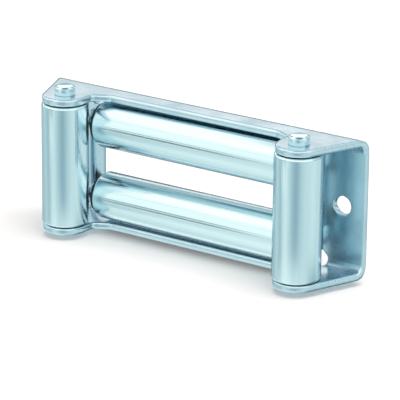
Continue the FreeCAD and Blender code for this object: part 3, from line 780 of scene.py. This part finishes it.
class FAIRLEAD_OT_bushes(bpy.types.Operator):
    """Mould the nylon bushes that are pressed into the tubes"""

    bl_idname = "fairlead.bushes"
    bl_label = "Nylon bushes"

    def execute(self, context):
        sizes = context.scene.fairlead_sizes
        bore = sizes.bush_bore
        plug, half_length = turned_size("vertical_bush_left_upper", 2)
        plain = turn_profile("bush", [
            (plug, -half_length), (plug, half_length), (bore, half_length), (bore, -half_length),
            (plug, -half_length)], hollow=True)
        rim, half_length = turned_size("horizontal_bush_upper_left", 0)
        seat = half_length - sizes.flange_thickness
        flanged = turn_profile("flanged_bush", [
            (plug, -half_length), (plug, seat), (rim, seat), (rim, half_length), (bore, half_length),
            (bore, -half_length), (plug, -half_length)], hollow=True)
        for pattern in (plain, flanged):
            apply_bevel(pattern, sizes.bush_edge, EDGE_SEGMENTS)
            smooth(pattern)
        for side in SIDES:
            for level in LEVELS:
                roller = "vertical_roller_" + side
                node = "vertical_bush_{}_{}".format(side, level)
                bush = copy_piece(plain, "bush_{}_{}".format(side, level))
                put(bush, node_centre(node))
                hand_over(bush, node, roller, finish("black_nylon"))
                roller = "horizontal_roller_" + level
                node = "horizontal_bush_{}_{}".format(level, side)
                bush = copy_piece(flanged, "flanged_bush_{}_{}".format(level, side))
                put(bush, node_centre(node), TO_RIGHT if side == "right" else TO_LEFT)
                hand_over(bush, node, roller, finish("black_nylon"))
        remove_pieces(plain, flanged)
        return {"FINISHED"}


class FAIRLEAD_OT_washers(bpy.types.Operator):
    """Turn the four thrust washers"""

    bl_idname = "fairlead.washers"
    bl_label = "Thrust washers"

    def execute(self, context):
        sizes = context.scene.fairlead_sizes
        bore = sizes.bush_bore
        rim, half_length = turned_size("thrust_washer_upper_left", 0)
        pattern = turn_profile("washer", [
            (rim, -half_length), (rim, half_length), (bore, half_length), (bore, -half_length),
            (rim, -half_length)], hollow=True)
        apply_bevel(pattern, sizes.bush_edge, EDGE_SEGMENTS)
        smooth(pattern)
        for level in LEVELS:
            for side in SIDES:
                node = "thrust_washer_{}_{}".format(level, side)
                washer = copy_piece(pattern, "washer_{}_{}".format(level, side))
                put(washer, node_centre(node), TO_RIGHT)
                hand_over(washer, node, "frame", finish("zinc_pin"))
        remove_pieces(pattern)
        return {"FINISHED"}


class FAIRLEAD_OT_rings(bpy.types.Operator):
    """Round the edges of the retaining rings and finish them"""

    bl_idname = "fairlead.rings"
    bl_label = "Retaining rings"

    def execute(self, context):
        width = context.scene.fairlead_sizes.ring_edge
        for side in SIDES:
            node = "retaining_ring_" + side
            ring = dress_copy(node, "lugged_ring_" + side, width, RING_BEVEL_ANGLE)
            hand_over(ring, node, "frame", finish("zinc_pin"))
        return {"FINISHED"}


class FAIRLEAD_OT_stage(bpy.types.Operator):
    """Lay the floor and set the lights, the world and the camera"""

    bl_idname = "fairlead.stage"
    bl_label = "Stage"

    def execute(self, context):
        lay_floor(CAD_BOX[0].z)
        lay_shadow_card(CAD_BOX)
        hang_light()
        paint_world()
        set_camera()
        context.scene.view_settings.view_transform = "Standard"
        return {"FINISHED"}


def lay_floor(height):
    """Large pale floor, white to the camera, with the object's shadow."""
    finishes = bpy.context.scene.fairlead_finishes
    leave_selection()
    bpy.ops.mesh.primitive_plane_add(size=FLOOR_SIZE, location=(0, 0, height))
    floor = bpy.context.active_object
    floor.name = "studio_floor"
    bpy.ops.object.transform_apply(location=True, rotation=True, scale=True)
    floor.visible_glossy = False
    material = bpy.data.materials.new("pale_floor")
    material.use_nodes = True
    tree = material.node_tree
    surface = tree.nodes["Principled BSDF"]
    set_inputs(surface, {
        "Base Color": (*finishes.floor, 1.0), "Roughness": DULL, "Specular IOR Level": 0.0,
        "Emission Color": (1.0, 1.0, 1.0, 1.0)})
    rays = tree.nodes.new("ShaderNodeLightPath")
    seen = tree.nodes.new("ShaderNodeMath")
    seen.operation = "MULTIPLY"
    seen.inputs[1].default_value = FLOOR_GLOW
    tree.links.new(rays.outputs["Is Camera Ray"], seen.inputs[0])
    tree.links.new(seen.outputs[0], surface.inputs["Emission Strength"])
    floor.data.materials.append(material)


def lay_shadow_card(box):
    """Dark card close under the object, which only the polished metal sees: painted shadow that stands in for
    the floor's shade beneath the object.
    """
    low, high = box
    leave_selection()
    bpy.ops.mesh.primitive_grid_add(x_subdivisions=1, y_subdivisions=1, size=1.0)
    card = bpy.context.active_object
    card.name = "dark_card"
    card.scale = (CARD_LENGTH, CARD_WIDTH, 1.0)
    card.location = ((low.x + high.x) / 2, -CARD_WIDTH / 2, low.z + CARD_LIFT)
    bpy.ops.object.transform_apply(location=True, rotation=True, scale=True)
    card.visible_camera = False
    card.visible_diffuse = False
    card.visible_shadow = False
    card.visible_transmission = False
    # Near-black painted shadow, seen only in the metal's reflections
    material = bpy.data.materials.new("dark_card")
    material.use_nodes = True
    colour = bpy.context.scene.fairlead_finishes.card
    set_inputs(material.node_tree.nodes["Principled BSDF"], {
        "Base Color": (*colour, 1.0), "Roughness": DULL, "Specular IOR Level": 0.0})
    card.data.materials.append(material)


def hang_light():
    """Large soft box high above, a little to the right; the metal sees the painted studio instead."""
    place = Vector(LAMP_PLACE)
    data = bpy.data.lights.new("top_box", "AREA")
    data.shape = "SQUARE"
    data.size = LAMP_SIZE
    data.energy = LAMP_POWER
    lamp = bpy.data.objects.new("top_box", data)
    lamp.location = place
    lamp.rotation_euler = (-place).to_track_quat("-Z", "Y").to_euler()
    lamp.visible_glossy = False
    bpy.context.scene.collection.objects.link(lamp)


def follow_level(level, scale, power, ceiling, least_share):
    """Amount of one colour at a level of light."""
    return max(min(scale * level ** power, ceiling), least_share * level)


def studio_tone(level):
    """Colour of the studio at a level of light: the darker, the more blue-green."""
    return (level, follow_level(level, *GREEN_TONE), follow_level(level, *BLUE_TONE))


def grey(level):
    """Plain level as a colour."""
    return (level, level, level)


def add_ramp(tree, value, stops, tone):
    """Colour through (place from 0 to 1, level) stops."""
    ramp = tree.nodes.new("ShaderNodeValToRGB")
    elements = ramp.color_ramp.elements
    while len(elements) < len(stops):
        elements.new(1.0)
    for element, (place, level) in zip(elements, stops):
        element.position = place
        element.color = (*tone(level), 1.0)
    tree.links.new(value, ramp.inputs["Fac"])
    return ramp.outputs["Color"]


def add_scaled(tree, value, low, high):
    """Value from 0 to 1 between two limits."""
    node = tree.nodes.new("ShaderNodeMapRange")
    set_inputs(node, {"From Min": low, "From Max": high})
    tree.links.new(value, node.inputs["Value"])
    return node.outputs["Result"]


def add_mix(tree, factor, first, second):
    """Blend of two colours."""
    node = tree.nodes.new("ShaderNodeMix")
    node.data_type = "RGBA"
    tree.links.new(factor, node.inputs["Factor"])
    tree.links.new(first, node.inputs["A"])
    tree.links.new(second, node.inputs["B"])
    return node.outputs["Result"]


def add_product(tree, first, second):
    """Product of two values."""
    node = tree.nodes.new("ShaderNodeMath")
    node.operation = "MULTIPLY"
    tree.links.new(first, node.inputs[0])
    tree.links.new(second, node.inputs[1])
    return node.outputs[0]


def round_stops(stops):
    """Directions in degrees as places from 0 to 1."""
    return [(direction / 360 + 0.5, level) for direction, level in stops]


def height_stops(stops):
    """Heights from -1 to 1 as places from 0 to 1."""
    return [(height / 2 + 0.5, level) for height, level in stops]


def paint_studio(tree, parts):
    """Studio for the polished metal: a ring of light and dark round the object, columns above it."""
    def studio_part(level):
        return tuple(value / BRIGHTEST for value in studio_tone(level))

    backward = tree.nodes.new("ShaderNodeMath")
    backward.operation = "MULTIPLY"
    backward.inputs[1].default_value = -1.0
    tree.links.new(parts.outputs["Y"], backward.inputs[0])
    turn = tree.nodes.new("ShaderNodeMath")
    turn.operation = "ARCTAN2"
    tree.links.new(parts.outputs["X"], turn.inputs[0])
    tree.links.new(backward.outputs[0], turn.inputs[1])
    around = add_scaled(tree, turn.outputs[0], -math.pi, math.pi)
    height = add_scaled(tree, parts.outputs["Z"], -1.0, 1.0)

    ring = add_ramp(tree, around, round_stops(RING), studio_part)
    under = add_ramp(tree, around, round_stops(UNDER), studio_part)
    front = add_ramp(tree, height, height_stops(FRONT_COLUMN), studio_part)
    back = add_ramp(tree, height, height_stops(BACK_COLUMN), studio_part)
    column_share = add_product(
        tree, add_ramp(tree, around, round_stops(COLUMN_DIRECTIONS), grey),
        add_ramp(tree, height, height_stops(COLUMN_HEIGHTS), grey))
    under_share = add_ramp(tree, height, height_stops(UNDER_HEIGHTS), grey)
    lower = add_mix(tree, column_share, add_mix(tree, under_share, ring, under), front)
    upper = add_mix(tree, add_scaled(tree, parts.outputs["Y"], *BEHIND), front, back)
    return add_mix(tree, add_scaled(tree, parts.outputs["Z"], *HORIZON), lower, upper)


def paint_world():
    """White to the camera, soft light for dull surfaces and the studio for polished metal."""
    world = bpy.data.worlds.new("studio")
    bpy.context.scene.world = world
    world.use_nodes = True
    tree = world.node_tree
    tree.nodes.clear()
    link = tree.links.new
    end = tree.nodes.new("ShaderNodeOutputWorld")
    direction = tree.nodes.new("ShaderNodeTexCoord")
    parts = tree.nodes.new("ShaderNodeSeparateXYZ")
    link(direction.outputs["Generated"], parts.inputs["Vector"])
    height = add_scaled(tree, parts.outputs["Z"], -1.0, 1.0)
    soft = add_ramp(tree, height, height_stops(SOFT_LIGHT), grey)
    layers = []
    for tone, strength in ((soft, SOFT_STRENGTH), (paint_studio(tree, parts), BRIGHTEST)):
        room = tree.nodes.new("ShaderNodeBackground")
        room.inputs["Strength"].default_value = strength
        link(tone, room.inputs["Color"])
        layers.append(room)
    backdrop = tree.nodes.new("ShaderNodeBackground")
    backdrop.inputs["Color"].default_value = (1.0, 1.0, 1.0, 1.0)
    rays = tree.nodes.new("ShaderNodeLightPath")
    glossy = tree.nodes.new("ShaderNodeMixShader")
    link(rays.outputs["Is Glossy Ray"], glossy.inputs["Fac"])
    link(layers[0].outputs[0], glossy.inputs[1])
    link(layers[1].outputs[0], glossy.inputs[2])
    seen = tree.nodes.new("ShaderNodeMixShader")
    link(rays.outputs["Is Camera Ray"], seen.inputs["Fac"])
    link(glossy.outputs[0], seen.inputs[1])
    link(backdrop.outputs[0], seen.inputs[2])
    link(seen.outputs[0], end.inputs["Surface"])


def set_camera():
    """Long lens from the right, a little above, at the photograph's angle."""
    azimuth = math.radians(CAMERA_AZIMUTH)
    elevation = math.radians(CAMERA_ELEVATION)
    roll = math.radians(CAMERA_ROLL)
    away = Vector((math.sin(azimuth) * math.cos(elevation), -math.cos(azimuth) * math.cos(elevation),
                   math.sin(elevation)))
    right = Vector((math.cos(azimuth), math.sin(azimuth), 0.0))
    up = away.cross(right)
    turned_right = math.cos(roll) * right + math.sin(roll) * up
    turned_up = -math.sin(roll) * right + math.cos(roll) * up
    data = bpy.data.cameras.new("camera")
    data.sensor_width = CAMERA_SENSOR
    data.lens = CAMERA_LENS
    data.clip_start, data.clip_end = CAMERA_REACH
    camera = bpy.data.objects.new("camera", data)
    turn = Matrix((turned_right, turned_up, away)).transposed().to_4x4()
    camera.matrix_world = Matrix.Translation(Vector(CAMERA_PLACE)) @ turn
    bpy.context.scene.collection.objects.link(camera)
    bpy.context.scene.camera = camera


class FAIRLEAD_PT_panel(bpy.types.Panel):
    """Sizes, colours and steps of the fairlead"""

    bl_idname = "FAIRLEAD_PT_panel"
    bl_label = "Roller fairlead"
    bl_space_type = "VIEW_3D"
    bl_region_type = "UI"
    bl_category = "Fairlead"

    def draw(self, context):
        for group in (context.scene.fairlead_sizes, context.scene.fairlead_finishes):
            column = self.layout.column()
            for name in group.bl_rna.properties.keys():
                if name not in ("rna_type", "name"):
                    column.prop(group, name)
        for operator in STEPS:
            self.layout.operator(operator.bl_idname)


STEPS = (
    FAIRLEAD_OT_finishes,
    FAIRLEAD_OT_frame,
    FAIRLEAD_OT_vertical_rollers,
    FAIRLEAD_OT_horizontal_rollers,
    FAIRLEAD_OT_vertical_pins,
    FAIRLEAD_OT_spindles,
    FAIRLEAD_OT_bushes,
    FAIRLEAD_OT_washers,
    FAIRLEAD_OT_rings,
    FAIRLEAD_OT_stage,
)
CLASSES = (FairleadSizes, FairleadFinishes) + STEPS + (FAIRLEAD_PT_panel,)


def register():
    """Make the steps, the panel and the settings known to Blender."""
    for item in CLASSES:
        bpy.utils.register_class(item)
    bpy.types.Scene.fairlead_sizes = bpy.props.PointerProperty(type=FairleadSizes)
    bpy.types.Scene.fairlead_finishes = bpy.props.PointerProperty(type=FairleadFinishes)


def unregister():
    """Take them out again."""
    del bpy.types.Scene.fairlead_finishes
    del bpy.types.Scene.fairlead_sizes
    for item in reversed(CLASSES):
        bpy.utils.unregister_class(item)


def main():
    register()
    bpy.ops.fairlead.finishes()
    bpy.ops.fairlead.frame()
    bpy.ops.fairlead.vertical_rollers()
    bpy.ops.fairlead.horizontal_rollers()
    bpy.ops.fairlead.vertical_pins()
    bpy.ops.fairlead.spindles()
    bpy.ops.fairlead.bushes()
    bpy.ops.fairlead.washers()
    bpy.ops.fairlead.rings()
    bpy.ops.fairlead.stage()


if __name__ == "__main__":
    main()
